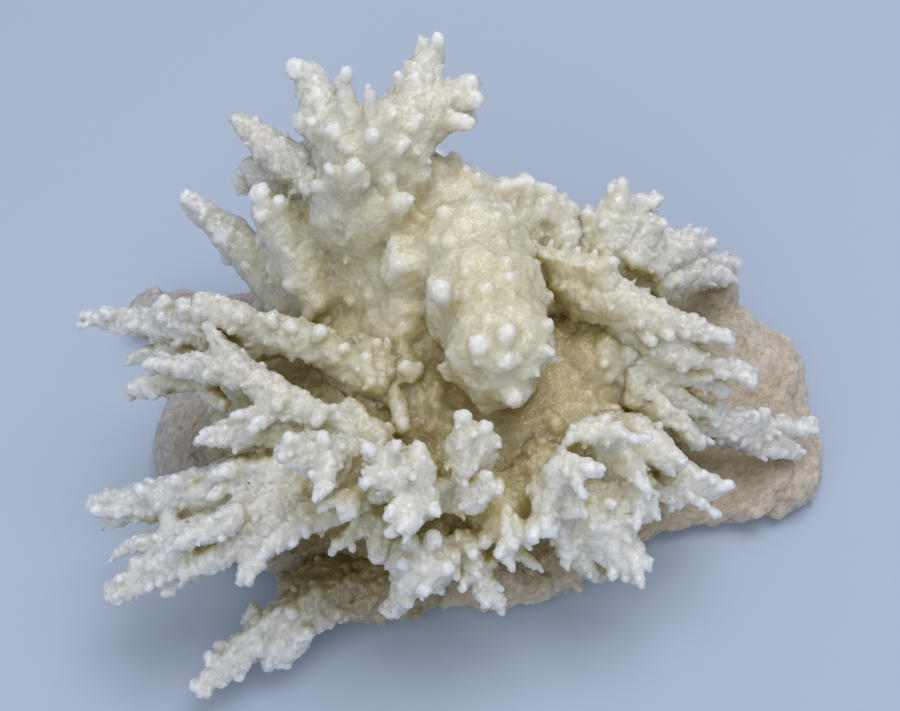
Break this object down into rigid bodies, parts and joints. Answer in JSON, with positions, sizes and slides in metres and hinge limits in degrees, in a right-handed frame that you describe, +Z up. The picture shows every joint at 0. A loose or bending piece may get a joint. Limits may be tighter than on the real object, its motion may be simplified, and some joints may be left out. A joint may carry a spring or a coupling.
{
  "type": "aragonite cluster specimen",
  "caption": "Coral-like cave aragonite cluster: knobbly tapering limbs radiate from a mound on a flat-based plate of matrix.",
  "frame": {"origin": "bottom centre of the bounding box, on the surface that the specimen rests on", "axes": "+X to the viewer's right along the longest side, +Y to the back, +Z up"},
  "size_m": [0.2214, 0.1662, 0.1053],
  "materials": {
    "aragonite": "sugary, translucent, cream in the hollows and cool white at the tips",
    "matrix": "sugary and dull, peach to cream"
  },
  "bodies": {
    "root": {"matrix_plate": "matrix", "core_mound": "aragonite", "front_column": "aragonite", "crown_limb": "aragonite", "crown_left_arm": "aragonite", "crown_right_arm": "aragonite", "left_rear_limb": "aragonite", "left_upper_limb": "aragonite", "left_lower_limb": "aragonite", "front_left_limb": "aragonite", "low_limb": "aragonite", "front_limb": "aragonite", "front_right_limb": "aragonite", "right_lower_limb": "aragonite", "right_long_limb": "aragonite", "right_rear_limb": "aragonite", "rear_ridge": "aragonite", "rear_limb": "aragonite"}
  },
  "joints": []
}
